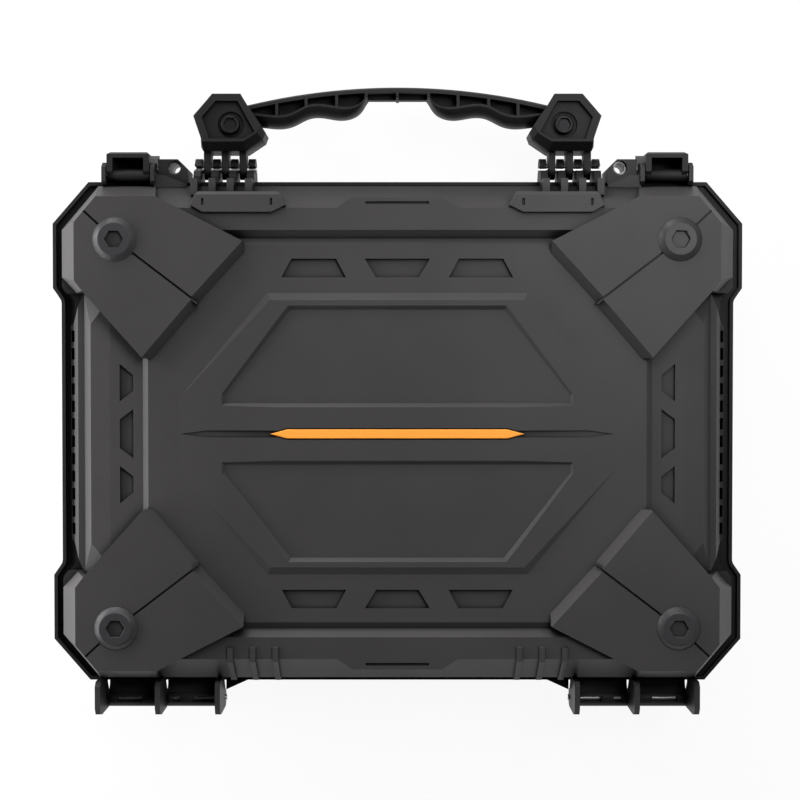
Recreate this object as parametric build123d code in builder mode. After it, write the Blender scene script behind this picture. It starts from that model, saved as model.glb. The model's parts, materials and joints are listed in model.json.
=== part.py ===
from build123d import *

import os

# Laptop hard case lying flat, in millimetres. Z = 0 is the plane that the feet rest on.
# The handle and latches are at the front (-Y), the hinges at the rear (+Y), left is -X.
# Plan sizes near the outside are insets from the rim, and pairs are (along X, along Y).

# ---------------------------------------------------------------- driving dimensions

# Rim flange of the base, at the parting plane
rim_half_x = 214.4
rim_half_y = 155.2
rim_waist = 5.4
rim_cut = (22.4, 25.8)
waist_step = 65.8
waist_run = 7.9
waist_radius = 6.0
flange_low_z = 42.0
flange_top_z = 47.0
lip_height = 3.0
lip_wall = 2.2

# Tub of the base
foot_height = 3.0
floor_thickness = 4.5
tub_inset = (13.4, 8.7)
tub_waist = 6.0
tub_draft = 2.0
tub_bottom_chamfer = 5.0
foot_inset = (64.4, 45.2)
foot_length = 46.0
foot_width = 16.0
pad_half_x = 90.0
pad_half_y = 55.0
pad_cut = 25.0
cavity_inset = (24.4, 13.2)
cavity_cut = (19.0, 25.0)

# Lid
parting_gap = 0.6
lid_inset = (8.4, 4.0)
lid_cut = (22.7, 26.8)
lid_waist = 5.5
shoulder_z = 62.0
border_z = 85.0
field_z = 82.0
column_z = 79.0
column_fall = 1.0
channel_z = 80.0
plateau_z = 83.6
lid_cavity_step_z = 60.0
lid_cavity_top_z = 75.0
lid_cavity_draw = 12.5

front_slope_run = 15.6
border_width = 13.2
channel_slope = 4.7
field_slope = 3.9

# Side rails and columns of the lid
rail_inset = 6.9
rail_outer_run = 4.8
rail_width = 3.9
rail_inner_run = 5.0
rail_z = 72.0
rail_point_floor_z = 52.0
rail_point_inset = 72.1
rail_full_inset = 89.0
rail_point_width = 1.2
rail_facet_x = 7.4
rail_facet_y = 8.0
column_crease_run = 11.9
column_flat = 19.8
column_slope = 3.6
notch_count = 12
notch_end_gap = 1.7
notch_share = 0.66
notch_depth = 1.2

# Relief of the lid's face
row_width = 11.2
row_edge = 8.4
row_side_out_x = 69.7
row_side_in_x = 30.9
row_slant = 6.0
row_mid_outer_x = 19.6
row_mid_inner_x = 12.9
recess_depth = 2.5
plateau_side_gap = 18.8
plateau_row_gap = 9.4
plateau_waist_y = 21.6
plateau_slant_x = 52.9
plateau_slope = 4.4
panel_side_inset = 24.6
panel_top_inset = (12.8, 7.6)
panel_low_y = 16.1
panel_knee_y = 24.3
panel_depth = 2.2
panel_wall = 2.4
slot_column_gap = 5.8
slot_width = 8.1
slot_guard_gap = 3.2
slot_slant = 6.8
slot_end_starts = (0.568, 0.432)
slot_mid_ends = (0.326, 0.192)
slot_depth = 2.0
tongue_half_x = 36.5
tongue_tip_x = 27.0
tongue_reach = 6.2
tongue_slot_half_x = 19.0
tongue_slot_width = 1.6

# Accent strip and the groove it sits in
strip_half_x = 76.6
strip_half_y = 2.8
strip_taper_x = 66.3
strip_gap = 0.7
strip_thickness = 2.6
strip_proud = 0.4
strip_chamfer = 0.4
groove_half_x = 115.0
groove_tip_x = 125.3
groove_half_y = 1.4

# Corner guards: points are insets from the corner of the rim
guard_top_z = 89.0
guard_foot_z = 56.0
guard_seat_z = 80.0
guard_wall = 3.2
guard_face_inset = (12.9, 9.1)
guard_face_cut = (13.1, 15.5)
guard_bevel = 4.8
guard_bevel_run_out = 12.0
guard_skirt_end = 64.6
guard_face_end = 70.1
guard_tip = (122.0, 39.7)
guard_tip_foot = 46.7
guard_jog = (95.6, 75.5)
guard_split = (94.0, 78.7)
guard_side = (62.1, 109.8)
guard_side_foot = 67.4
guard_hip = (26.1, 69.5)
flank_waist = 9.1
flank_step = 59.9
flank_run = 9.7
face_waist = 4.8
face_step = 63.2
face_run = 6.3
seam_width = 1.3
seam_depth = 1.6
seam_corner = (27.0, 21.5)

# Corner bolts
bolt_inset = (45.7, 38.8)
bolt_head_radius = 13.3
bolt_face_radius = 9.6
bolt_head_height = 2.8
bolt_shank_radius = 5.0
bolt_shank_depth = 12.0
bolt_fit = 0.1
socket_corner_radius = 5.6
socket_depth = 2.0

# Hinges and their pins
hinge_reach = 11.8
hinge_z = 47.0
hinge_outer_inset = 31.9
hinge_ear_pitch = 36.5
hinge_ear_width = 3.2
hinge_ear_radius = 5.6
hinge_ear_top_z = 76.5
hinge_play = 0.5
knuckle_radius = 5.3
hinge_gusset_length = 15.0
hinge_gusset_depth = 6.8
window_width = 3.2
outer_windows = [(7.9, 15.5)]
inner_windows = [(6.0, 4.7), (18.5, 13.7)]
pin_radius = 2.0
pin_fit = 0.05
pin_end = 1.0

# Rear ribs
rib_count = 3
rib_pitch = 13.65
rib_gap = 8.8
rib_width = 3.4

# Latches
latch_inset = 49.7
latch_reach = 2.8
latch_z = 60.0
latch_width = 26.0
latch_arm = 3.6
latch_pin_radius = 1.85
latch_boss_radius = 4.0
latch_play = 0.6
latch_cheek = 2.6
latch_cheek_reach = 7.6
latch_plate_outer = 14.0
latch_plate_inner = 10.2
latch_top_z = 66.0
latch_low_z = 24.0
latch_claw_clear = 0.6
latch_claw_top_z = 41.4
latch_claw_low_z = 36.5
latch_grip_height = 12.0
latch_grip_depth = 1.2

# Padlock tabs and their sleeves
tab_latch_gap = 17.5
tab_width = 18.2
tab_reach = 12.8
tab_root = 4.7
tab_corner = 6.0
tab_base_low_z = 36.0
tab_base_high_z = 46.8
tab_lid_high_z = 60.0
padlock_inset = 10.3
padlock_reach = 7.7
padlock_radius = 3.1
sleeve_wall = 1.1
sleeve_recess = 3.0
latch_gusset_reach = 6.6
latch_gusset_flat = 4.7
latch_gusset_knee = (15.1, 2.3)
latch_gusset_top_z = 64.0

# Handle: ears on the base, lugs on the pods, pivot pins
handle_reach = 7.8
handle_z = 47.0
handle_ear_gap = 5.8
handle_ear_pitch = 11.0
handle_ear_count = 4
handle_ear_width = 4.3
handle_ear_radius = 6.8
handle_ear_height = 14.0
handle_snap_width = 3.2
handle_lug_width = 4.3
handle_lug_radius = 6.2
rib_over_ear = 3.4

# Handle pods and their bolts, from the middle of the ears and the pivot
pod_low_z = 27.0
pod_high_z = 67.0
pod_bottom = 10.3
pod_rim_width = 4.4
pod_rim_width_case = 1.8
pod_rim = 3.2
pod_chamfer = 4.5
pod_chamfer_height = 9.0
pod_well_radius = 8.0
pod_well_depth = 1.6
pod_bolt = (-4.7, -25.4)
pod_bolt_radius = 5.8
pod_bolt_height = 4.2
pod_socket_corner_radius = 4.2

# Grip
grip_low_z = 35.0
grip_high_z = 60.0
grip_case_round = 4.5
grip_crown_round = 2.2
grip_crown_reach = 50.1
grip_end_reach = 38.9
grip_end_inset = 13.0
grip_case_rim = 1.4
grip_crown_rim = 1.9
grip_web = 1.8
grip_pocket_depth = 9.5

# Hoods over the handle ears
hood_low_z = 73.0
hood_top_z = 87.6
hood_chamfer = 2.0
hood_slot_half = 20.5
hood_slot_reach = 12.2
hood_slot_length = 4.0

# Seal and foam
gasket_land = 4.6
gasket_width = 3.2
gasket_depth = 2.2
foam_gap = 0.3
foam_wall = (9.0, 16.0)
pocket_floor_z = 19.0
pocket_grip_radius = 15.0
pad_clear = 1.4

# ---------------------------------------------------------------- derived values

lip_top_z = flange_top_z + lip_height
lid_bottom_z = flange_top_z + parting_gap
lid_half_x = rim_half_x - lid_inset[0]
lid_half_y = rim_half_y - lid_inset[1]
tub_floor_z = foot_height + floor_thickness
above_all_z = guard_top_z + 20.0

cavity_half_x = rim_half_x - cavity_inset[0]
cavity_half_y = rim_half_y - cavity_inset[1]
pocket_half_x = cavity_half_x - foam_wall[0]
pocket_half_y = cavity_half_y - foam_wall[1]

border_outer_y = lid_half_y - front_slope_run
border_inner_y = border_outer_y - border_width
channel_y = border_inner_y - channel_slope
field_half_y = channel_y - field_slope
rail_foot_x = lid_half_x - rail_inset
rail_outer_x = rail_foot_x - rail_outer_run
rail_inner_x = rail_outer_x - rail_width
column_outer_x = rail_inner_x - rail_inner_run
column_crease_x = column_outer_x - column_crease_run
column_inner_x = column_crease_x - column_flat
field_half_x = column_inner_x - column_slope

row_outer_y = field_half_y - row_edge
row_inner_y = row_outer_y - row_width
plateau_half_x = field_half_x - plateau_side_gap
plateau_half_y = row_inner_y - plateau_row_gap
plateau_shoulder_x = plateau_half_x - plateau_slant_x
panel_half_x = plateau_half_x - panel_side_inset
panel_top_x = plateau_shoulder_x - panel_top_inset[0]
panel_top_y = plateau_half_y - panel_top_inset[1]
slot_outer_x = column_crease_x - slot_column_gap
slot_inner_x = slot_outer_x - slot_width
rail_full_y = rim_half_y - rail_full_inset
rail_point_y = rim_half_y - rail_point_inset
notch_pitch = 2 * (rail_full_y - notch_end_gap) / notch_count
notch_length = notch_share * notch_pitch

hinge_y = rim_half_y + hinge_reach
hinge_outer_x = rim_half_x - hinge_outer_inset
hinge_ear_x = [hinge_outer_x - i * hinge_ear_pitch for i in (2, 1, 0)]
rib_x = [hinge_ear_x[0] - rib_gap - i * rib_pitch for i in range(rib_count)]

latch_x = rim_half_x - latch_inset
latch_y = -rim_half_y - latch_reach
latch_plate_outer_y = latch_y - latch_plate_outer
latch_plate_inner_y = latch_y - latch_plate_inner
latch_claw_y = -rim_half_y - latch_claw_clear

tab_outer_x = latch_x - tab_latch_gap
tab_inner_x = tab_outer_x - tab_width
tab_y = -rim_half_y - tab_reach
tab_root_y = -rim_half_y + tab_root
padlock_x = tab_outer_x - padlock_inset
padlock_y = -rim_half_y - padlock_reach

handle_y = -rim_half_y - handle_reach
handle_outer_x = tab_inner_x - handle_ear_gap
handle_ear_x = [handle_outer_x - i * handle_ear_pitch for i in range(handle_ear_count)]
handle_mid_x = (handle_ear_x[0] + handle_ear_x[-1]) / 2
handle_lug_x = [x - handle_ear_pitch / 2 for x in handle_ear_x[:-1]]
pod_bottom_y = handle_y - pod_bottom
pod_bolt_x = handle_mid_x + pod_bolt[0]
pod_bolt_y = handle_y + pod_bolt[1]
grip_end_x = handle_mid_x - grip_end_inset
grip_crown_y = handle_y - grip_crown_reach
grip_end_y = handle_y - grip_end_reach


def from_corner(inset):
    """Point at the given insets from the rim's corner."""
    return (rim_half_x - inset[0], rim_half_y - inset[1])


guard_jog_point = from_corner(guard_jog)
guard_split_point = from_corner(guard_split)
guard_tip_point = from_corner(guard_tip)
guard_tip_foot_point = (guard_tip_point[0], rim_half_y - guard_tip_foot)
guard_side_point = from_corner(guard_side)
guard_side_foot_point = (rim_half_x - guard_side_foot, guard_side_point[1])
guard_hip_point = from_corner(guard_hip)
guard_hip_y = guard_hip_point[1]
bolt_x, bolt_y = from_corner(bolt_inset)
guard_face_half_x = lid_half_x - guard_face_inset[0]
guard_face_half_y = lid_half_y - guard_face_inset[1]


def ring(quarter):
    """Closed outline, symmetric about both axes, from its +X +Y points, the X axis side first."""
    left = [(-x, y) for x, y in reversed(quarter)]
    below = [(-x, -y) for x, y in quarter]
    right = [(x, -y) for x, y in reversed(quarter)]
    return quarter + left + below + right


def octagon(half_x, half_y, cut):
    return ring([(half_x, half_y - cut[1]), (half_x - cut[0], half_y)])


def waisted(half_x, half_y, cut, waist, step, run):
    """Octagon whose left and right sides step in between the corners."""
    step_y = rim_half_y - step
    quarter = [
        (half_x - waist, step_y - run),
        (half_x, step_y),
        (half_x, half_y - cut[1]),
        (half_x - cut[0], half_y),
    ]
    return ring(quarter)


def both_ways(profile):
    """Closed outline, symmetric about the vertical axis, from its right-hand points."""
    return profile + [(-u, v) for u, v in reversed(profile)]


def band(start, end, width):
    """Corners of a straight strip of one width between two points."""
    run = Vector(*end) - Vector(*start)
    side = Vector(-run.Y, run.X).normalized() * (width / 2)
    first, last = Vector(*start), Vector(*end)
    return [tuple(p)[:2] for p in (first + side, first - side, last - side, last + side)]


def grown(plan, amount):
    """Face of an outline, offset outwards, or inwards where amount is negative."""
    with BuildSketch() as face:
        Polygon(*plan, align=None)
        offset(amount=amount, kind=Kind.INTERSECTION, mode=Mode.REPLACE)
    return face.sketch


def rim_face(amount):
    """Outline of the rim with its waist corners rounded, offset by amount."""
    plan = waisted(rim_half_x, rim_half_y, rim_cut, rim_waist, waist_step, waist_run)
    with BuildSketch() as face:
        Polygon(*plan, align=None)
        fillet(face.vertices().filter_by(lambda v: abs(v.Y) < rim_half_y - waist_step), waist_radius)
        if amount:
            offset(amount=amount, kind=Kind.INTERSECTION, mode=Mode.REPLACE)
    return face.sketch


def save(piece, name):
    piece.part.label = name
    export_step(piece.part, f"parts/{name}.step")


os.makedirs("parts", exist_ok=True)

# ---------------------------------------------------------------- corner guards and bolts

guard_plan = [
    (rim_half_x - guard_skirt_end, rim_half_y),
    (rim_half_x, rim_half_y),
    (rim_half_x, guard_hip_y),
    guard_hip_point,
    guard_side_point,
    guard_side_foot_point,
    guard_split_point,
    guard_jog_point,
    guard_tip_foot_point,
    guard_tip_point,
    (rim_half_x - guard_face_end, guard_face_half_y),
]


def lid_envelope(inset, low_z):
    """Upright skirt, then one straight slope up to the guard faces, drawn in by inset."""
    skirt_x, skirt_y = lid_half_x - inset, lid_half_y - inset
    face_x, face_y = guard_face_half_x - inset, guard_face_half_y - inset
    skirt = waisted(skirt_x, skirt_y, lid_cut, flank_waist, flank_step, flank_run)
    face = waisted(face_x, face_y, guard_face_cut, face_waist, face_step, face_run)
    with BuildPart() as form:
        with BuildSketch(Plane.XY.offset(low_z)):
            Polygon(*skirt, align=None)
        extrude(amount=shoulder_z - low_z)
        with BuildSketch(Plane.XY.offset(shoulder_z)):
            Polygon(*skirt, align=None)
        with BuildSketch(Plane.XY.offset(guard_top_z)):
            Polygon(*face, align=None)
        loft(ruled=True)
    return form


guard_outer = lid_envelope(0, guard_foot_z)
guard_inner = lid_envelope(guard_wall, lid_bottom_z)

with BuildPart() as corner_core:
    with BuildSketch(Plane.XY.offset(lid_bottom_z)):
        Polygon(*guard_plan, align=None)
    extrude(amount=guard_seat_z - lid_bottom_z)
    add(guard_inner.part, mode=Mode.INTERSECT)


def bevel_cut(start, end, before, after):
    """Wedge that slopes a guard's inner edge down from its face to the lid's field."""
    along = (Vector(*end) - Vector(*start)).normalized()
    height = guard_top_z - field_z
    origin = Vector(*start) - along * before
    edge_plane = Plane(origin=(origin.X, origin.Y, field_z), x_dir=(-along.Y, along.X, 0), z_dir=along)
    with BuildPart() as wedge:
        with BuildSketch(edge_plane):
            Polygon((0, 0), (-2 * guard_bevel, 2 * height), (2, 2 * height), (2, 0), align=None)
        extrude(amount=(Vector(*end) - Vector(*start)).length + before + after)
    return wedge.part


with BuildPart() as guard_blank:
    with BuildSketch(Plane.XY.offset(guard_foot_z)):
        Polygon(*guard_plan, align=None)
    extrude(amount=guard_top_z - guard_foot_z)
    add(guard_outer.part, mode=Mode.INTERSECT)
    add(corner_core.part, mode=Mode.SUBTRACT)
    side_run_out = (guard_side_foot_point, guard_split_point, guard_bevel_run_out, seam_width)
    tip_run_out = (guard_jog_point, guard_tip_foot_point, seam_width, guard_bevel_run_out)
    add(bevel_cut(*side_run_out), mode=Mode.SUBTRACT)
    add(bevel_cut(*tip_run_out), mode=Mode.SUBTRACT)
    seam_inner = (guard_jog_point[0], guard_jog_point[1] - seam_width)
    with BuildSketch(Plane.XY.offset(guard_top_z - seam_depth)):
        Polygon(*band((bolt_x, bolt_y), seam_inner, seam_width), align=None)
        Polygon(*band((bolt_x, bolt_y), from_corner(seam_corner), seam_width), align=None)
    extrude(amount=seam_depth, mode=Mode.SUBTRACT)
    with Locations((bolt_x, bolt_y, guard_top_z)):
        Hole(bolt_shank_radius + bolt_fit, depth=guard_top_z - guard_seat_z)

with BuildPart() as bolt_blank:
    with BuildSketch(Plane.XY.offset(guard_top_z)):
        with Locations((bolt_x, bolt_y)):
            Circle(bolt_head_radius)
    with BuildSketch(Plane.XY.offset(guard_top_z + bolt_head_height)):
        with Locations((bolt_x, bolt_y)):
            Circle(bolt_face_radius)
    loft()
    with BuildSketch(Plane.XY.offset(guard_top_z)):
        with Locations((bolt_x, bolt_y)):
            Circle(bolt_shank_radius)
    extrude(amount=-bolt_shank_depth)
    with BuildSketch(Plane.XY.offset(guard_top_z + bolt_head_height)):
        with Locations((bolt_x, bolt_y)):
            RegularPolygon(socket_corner_radius, 6)
    extrude(amount=-socket_depth, mode=Mode.SUBTRACT)


def to_corners(blank, stem):
    """Writes the rear right piece and its mirror images in the other three corners."""
    save(blank, f"{stem}_rear_right")
    with BuildPart() as rear_left:
        mirror(blank.part, about=Plane.YZ)
    save(rear_left, f"{stem}_rear_left")
    with BuildPart() as front_right:
        mirror(blank.part, about=Plane.XZ)
    save(front_right, f"{stem}_front_right")
    with BuildPart() as front_left:
        mirror(rear_left.part, about=Plane.XZ)
    save(front_left, f"{stem}_front_left")
    return [blank.part, rear_left.part, front_right.part, front_left.part]


guards = to_corners(guard_blank, "corner_guard")
to_corners(bolt_blank, "corner_bolt")

with BuildPart() as cores:
    add(corner_core.part)
    mirror(corner_core.part, about=Plane.YZ)
    mirror(cores.part, about=Plane.XZ)

# ---------------------------------------------------------------- lid shell

cross_profile = both_ways([
    (lid_half_y, lid_bottom_z),
    (lid_half_y, shoulder_z),
    (border_outer_y, border_z),
    (border_inner_y, border_z),
    (channel_y, channel_z),
    (field_half_y, field_z),
])
side_profile = both_ways([
    (rail_foot_x, lid_bottom_z),
    (rail_foot_x, shoulder_z),
    (rail_outer_x, rail_z),
    (rail_inner_x, rail_z),
    (column_outer_x, column_z - column_fall),
    (column_crease_x, column_z),
    (column_inner_x, column_z),
    (field_half_x, field_z),
])
plateau_quarter = [
    (plateau_half_x, plateau_waist_y),
    (plateau_shoulder_x, plateau_half_y),
]
panel_plan = both_ways([
    (panel_half_x, panel_low_y),
    (panel_half_x, panel_knee_y),
    (panel_top_x, panel_top_y),
])
strip_plan = [
    (strip_half_x, 0),
    (strip_taper_x, strip_half_y),
    (-strip_taper_x, strip_half_y),
    (-strip_half_x, 0),
    (-strip_taper_x, -strip_half_y),
    (strip_taper_x, -strip_half_y),
]
groove_plan = [
    (groove_tip_x, 0),
    (groove_half_x, groove_half_y),
    (-groove_half_x, groove_half_y),
    (-groove_tip_x, 0),
    (-groove_half_x, -groove_half_y),
    (groove_half_x, -groove_half_y),
]
row_side_plan = [
    (row_side_in_x, row_inner_y),
    (row_side_out_x, row_inner_y),
    (row_side_out_x - row_slant, row_outer_y),
    (row_side_in_x + row_slant, row_outer_y),
]
row_mid_plan = both_ways([(row_mid_inner_x, row_inner_y), (row_mid_outer_x, row_outer_y)])
# Side slots: shares of the space between the guards
slot_end_y = guard_side_point[1] - slot_guard_gap
slot_start_short_y, slot_start_long_y = [share * guard_side_point[1] for share in slot_end_starts]
slot_mid_long_y, slot_mid_short_y = [share * guard_side_point[1] for share in slot_mid_ends]
slot_end_plan = [
    (slot_outer_x, slot_start_long_y),
    (slot_outer_x, slot_end_y),
    (slot_inner_x, slot_end_y - slot_slant),
    (slot_inner_x, slot_start_short_y),
]
slot_mid_plan = [
    (slot_inner_x, -slot_mid_long_y),
    (slot_inner_x, slot_mid_long_y),
    (slot_outer_x, slot_mid_short_y),
    (slot_outer_x, -slot_mid_short_y),
]
rail_point_plan = [
    (rail_foot_x, rail_full_y),
    (rim_half_x, rail_full_y),
    (rim_half_x, guard_hip_y),
    (rail_inner_x, guard_hip_y),
    (rail_inner_x + rail_point_width, rail_point_y),
]


def rail_facet():
    """Wedge that slopes a column's end down to the rail's point beside the guard."""
    high = Vector(column_outer_x, rail_full_y, column_z - column_fall)
    low = Vector(rail_inner_x, rail_point_y, rail_z)
    inner = Vector(column_outer_x - rail_facet_x, rail_full_y + rail_facet_y, column_z)
    corners = [high, high + (low - high) * 1.5, high + (inner - high) * 1.5]
    with BuildPart() as wedge:
        extrude(Face(Wire.make_polygon(corners)), amount=above_all_z - column_z, dir=(0, 0, 1))
    return wedge.part


def hollow(inset, low_z, top_z):
    """Inside of the lid, or the pad that fills it: upright walls, then walls drawn in."""
    half_x, half_y = cavity_half_x - inset, cavity_half_y - inset
    low = octagon(half_x, half_y, cavity_cut)
    drawn_x, drawn_y = half_x - lid_cavity_draw, half_y - lid_cavity_draw
    high = octagon(drawn_x, drawn_y, cavity_cut)
    with BuildPart() as form:
        with BuildSketch(Plane.XY.offset(low_z)):
            Polygon(*low, align=None)
        extrude(amount=lid_cavity_step_z - low_z)
        with BuildSketch(Plane.XY.offset(lid_cavity_step_z)):
            Polygon(*low, align=None)
        with BuildSketch(Plane.XY.offset(top_z)):
            Polygon(*high, align=None)
        loft(ruled=True)
    return form.part


def padlock_tab(low_z, high_z, side):
    """Plate with a cropped corner and the hole for the padlock's sleeve."""
    plan = [
        (side * tab_outer_x, tab_root_y),
        (side * tab_outer_x, tab_y),
        (side * (tab_inner_x + tab_corner), tab_y),
        (side * tab_inner_x, tab_y + tab_corner),
        (side * tab_inner_x, tab_root_y),
    ]
    with BuildPart() as tab:
        with BuildSketch(Plane.XY.offset(low_z)):
            Polygon(*plan, align=None)
            with Locations((side * padlock_x, padlock_y)):
                Circle(padlock_radius + sleeve_wall, mode=Mode.SUBTRACT)
        extrude(amount=high_z - low_z)
    return tab.part


def upright(profile, centre_x, width):
    """Plate of a YZ profile, centred on one X."""
    with BuildPart() as plate:
        with BuildSketch(Plane.YZ.offset(centre_x - width / 2)):
            Polygon(*profile, align=None)
        extrude(amount=width)
    return plate.part


def barrel(centre_x, y, z, radius, width):
    """Round boss along X."""
    with BuildPart() as boss:
        with BuildSketch(Plane.YZ.offset(centre_x - width / 2)):
            with Locations((y, z)):
                Circle(radius)
        extrude(amount=width)
    return boss.part


hinge_ear_profile = [
    (lid_half_y - 2, lip_top_z + 1),
    (lid_half_y - 2, guard_foot_z - 0.5),
    (lid_half_y + 0.4, guard_foot_z - 0.5),
    (lid_half_y + 0.4, hinge_ear_top_z - 3),
    (lid_half_y + 3, hinge_ear_top_z),
    (hinge_y + hinge_ear_radius - 5, hinge_ear_top_z),
    (hinge_y + hinge_ear_radius - 1, hinge_ear_top_z - 2.5),
    (hinge_y + hinge_ear_radius, hinge_ear_top_z - 7),
    (hinge_y + hinge_ear_radius, hinge_z),
    (hinge_y - hinge_ear_radius, hinge_z),
    (rim_half_y + 1, lip_top_z + 1),
]
rear_rib_profile = [
    (border_outer_y - 8.5, border_z - 1.5),
    (border_outer_y - 7, border_z + 1.3),
    (border_outer_y + 1.4, border_z + 1.3),
    (lid_half_y + 1.2, shoulder_z + 2.5),
    (lid_half_y + 1.2, guard_foot_z),
    (lid_half_y - 2, guard_foot_z),
]
latch_cheek_y = latch_y - latch_cheek_reach
latch_cheek_profile = [
    (-lid_half_y + 2, lip_top_z + 1),
    (-lid_half_y + 2, guard_foot_z - 0.5),
    (-lid_half_y - 0.4, guard_foot_z - 0.5),
    (-lid_half_y - 0.4, latch_top_z - 2),
    (latch_y + 4, latch_top_z),
    (latch_cheek_y + 3, latch_top_z),
    (latch_cheek_y, latch_top_z - 4),
    (latch_cheek_y, lip_top_z + 5),
    (latch_cheek_y + 4, lip_top_z + 1),
]
latch_cheek_offset = latch_width / 2 + latch_play + latch_cheek / 2
latch_pin_half = latch_width / 2 + latch_play + latch_cheek

with BuildPart() as lid_shell:
    with BuildSketch(Plane.XY.offset(lid_bottom_z)):
        lid_plan = waisted(lid_half_x, lid_half_y, lid_cut, lid_waist, waist_step, waist_run)
        Polygon(*lid_plan, align=None)
    extrude(amount=shoulder_z - lid_bottom_z)
    with BuildSketch(Plane.YZ):
        Polygon(*cross_profile, align=None)
    extrude(amount=field_half_x, both=True)
    with BuildSketch(Plane.XZ):
        Polygon(*side_profile, align=None)
    extrude(amount=guard_hip_y, both=True)
    add(cores.part)
    # Rails: pointed ends, and a row of notches along the foot
    with BuildSketch(Plane.XY.offset(rail_point_floor_z)):
        Polygon(*rail_point_plan, align=None)
        mirror(about=Plane.YZ)
        mirror(about=Plane.XZ)
    extrude(amount=above_all_z - rail_point_floor_z, mode=Mode.SUBTRACT)
    facet = rail_facet()
    for corner in (facet, facet.mirror(Plane.YZ)):
        add(corner, mode=Mode.SUBTRACT)
        add(corner.mirror(Plane.XZ), mode=Mode.SUBTRACT)
    with BuildSketch(Plane.XY.offset(rail_point_floor_z)):
        with GridLocations(2 * rail_foot_x, notch_pitch, 2, notch_count):
            Rectangle(2 * notch_depth, notch_length)
    extrude(amount=rail_z - rail_point_floor_z, mode=Mode.SUBTRACT)
    # Raised octagon with sloped edges, falling away to its left and right ends
    with BuildPart(mode=Mode.PRIVATE) as plateau:
        with BuildSketch(Plane.XY.offset(field_z)):
            Polygon(*ring(plateau_quarter), align=None)
        with BuildSketch(Plane.XY.offset(plateau_z)):
            add(grown(ring(plateau_quarter), -plateau_slope))
        loft(ruled=True)
        fall_start_x = plateau_shoulder_x - plateau_slope
        with BuildSketch(Plane.XZ):
            Polygon(
                (fall_start_x, plateau_z),
                (plateau_half_x, field_z),
                (plateau_half_x, above_all_z),
                (fall_start_x, above_all_z),
                align=None,
            )
            mirror(about=Plane.YZ)
        extrude(amount=plateau_half_y, both=True, mode=Mode.SUBTRACT)
    add(plateau.part)
    # Two recessed panels with sloped walls
    for side in (-1, 1):
        with BuildSketch(Plane.XY.offset(plateau_z)):
            Polygon(*[(x, side * y) for x, y in panel_plan], align=None)
        with BuildSketch(Plane.XY.offset(plateau_z - panel_depth)):
            Polygon(*[(x, side * y) for x, y in panel_plan], align=None)
            offset(amount=-panel_wall, kind=Kind.INTERSECTION, mode=Mode.REPLACE)
        loft(ruled=True, mode=Mode.SUBTRACT)
    # Rows and columns of trapezoid recesses
    with BuildSketch(Plane.XY.offset(field_z - recess_depth)):
        Polygon(*row_side_plan, align=None)
        mirror(about=Plane.YZ)
        Polygon(*row_mid_plan, align=None)
        mirror(about=Plane.XZ)
    extrude(amount=recess_depth, mode=Mode.SUBTRACT)
    with BuildSketch(Plane.XY.offset(column_z - slot_depth)):
        Polygon(*slot_end_plan, align=None)
        mirror(about=Plane.XZ)
        Polygon(*slot_mid_plan, align=None)
        mirror(about=Plane.YZ)
    extrude(amount=slot_depth, mode=Mode.SUBTRACT)
    # Groove and recess of the accent strip
    strip_floor_z = plateau_z + strip_proud - strip_thickness
    with BuildSketch(Plane.XY.offset(strip_floor_z)):
        Polygon(*groove_plan, align=None)
        Polygon(*strip_plan, align=None)
        offset(amount=strip_gap, kind=Kind.INTERSECTION, mode=Mode.REPLACE)
    extrude(amount=above_all_z - strip_floor_z, mode=Mode.SUBTRACT)
    # Tongues in the middle of the front and rear slopes
    for side in (-1, 1):
        with BuildSketch(Plane.XY.offset(channel_z)):
            Polygon(*[(x, side * y) for x, y in both_ways([
                (tongue_half_x, border_outer_y - 1),
                (tongue_half_x, border_outer_y),
                (tongue_tip_x, border_outer_y + tongue_reach),
            ])], align=None)
        extrude(amount=border_z - channel_z)
        with BuildSketch(Plane.XY.offset(border_z - seam_depth)):
            with Locations((0, side * (border_outer_y + tongue_reach / 2))):
                Rectangle(2 * tongue_slot_half_x, tongue_slot_width)
        extrude(amount=seam_depth, mode=Mode.SUBTRACT)
    # Hinge ears, rear ribs, latch cheeks and padlock tabs
    for side in (-1, 1):
        for ear_x in hinge_ear_x:
            add(upright(hinge_ear_profile, side * ear_x, hinge_ear_width))
            add(barrel(side * ear_x, hinge_y, hinge_z, hinge_ear_radius, hinge_ear_width))
        for x in rib_x:
            add(upright(rear_rib_profile, side * x, rib_width))
        for flank in (-1, 1):
            cheek_x = side * latch_x + flank * latch_cheek_offset
            add(upright(latch_cheek_profile, cheek_x, latch_cheek))
        add(padlock_tab(lid_bottom_z, tab_lid_high_z, side))
    # Gussets beside the latches, above the base's lip
    for side in (-1, 1):
        knee_x, knee_y = latch_gusset_knee
        with BuildSketch(Plane.XY.offset(lip_top_z + 1)):
            Polygon(*[(side * (tab_outer_x + x), -lid_half_y - y) for x, y in (
                (2, -1),
                (2, latch_gusset_reach),
                (-latch_gusset_flat, latch_gusset_reach),
                (-knee_x, knee_y),
                (-tab_width, knee_y / 2),
                (-tab_width, -1),
            )], align=None)
        extrude(amount=latch_gusset_top_z - lip_top_z - 1)
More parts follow.
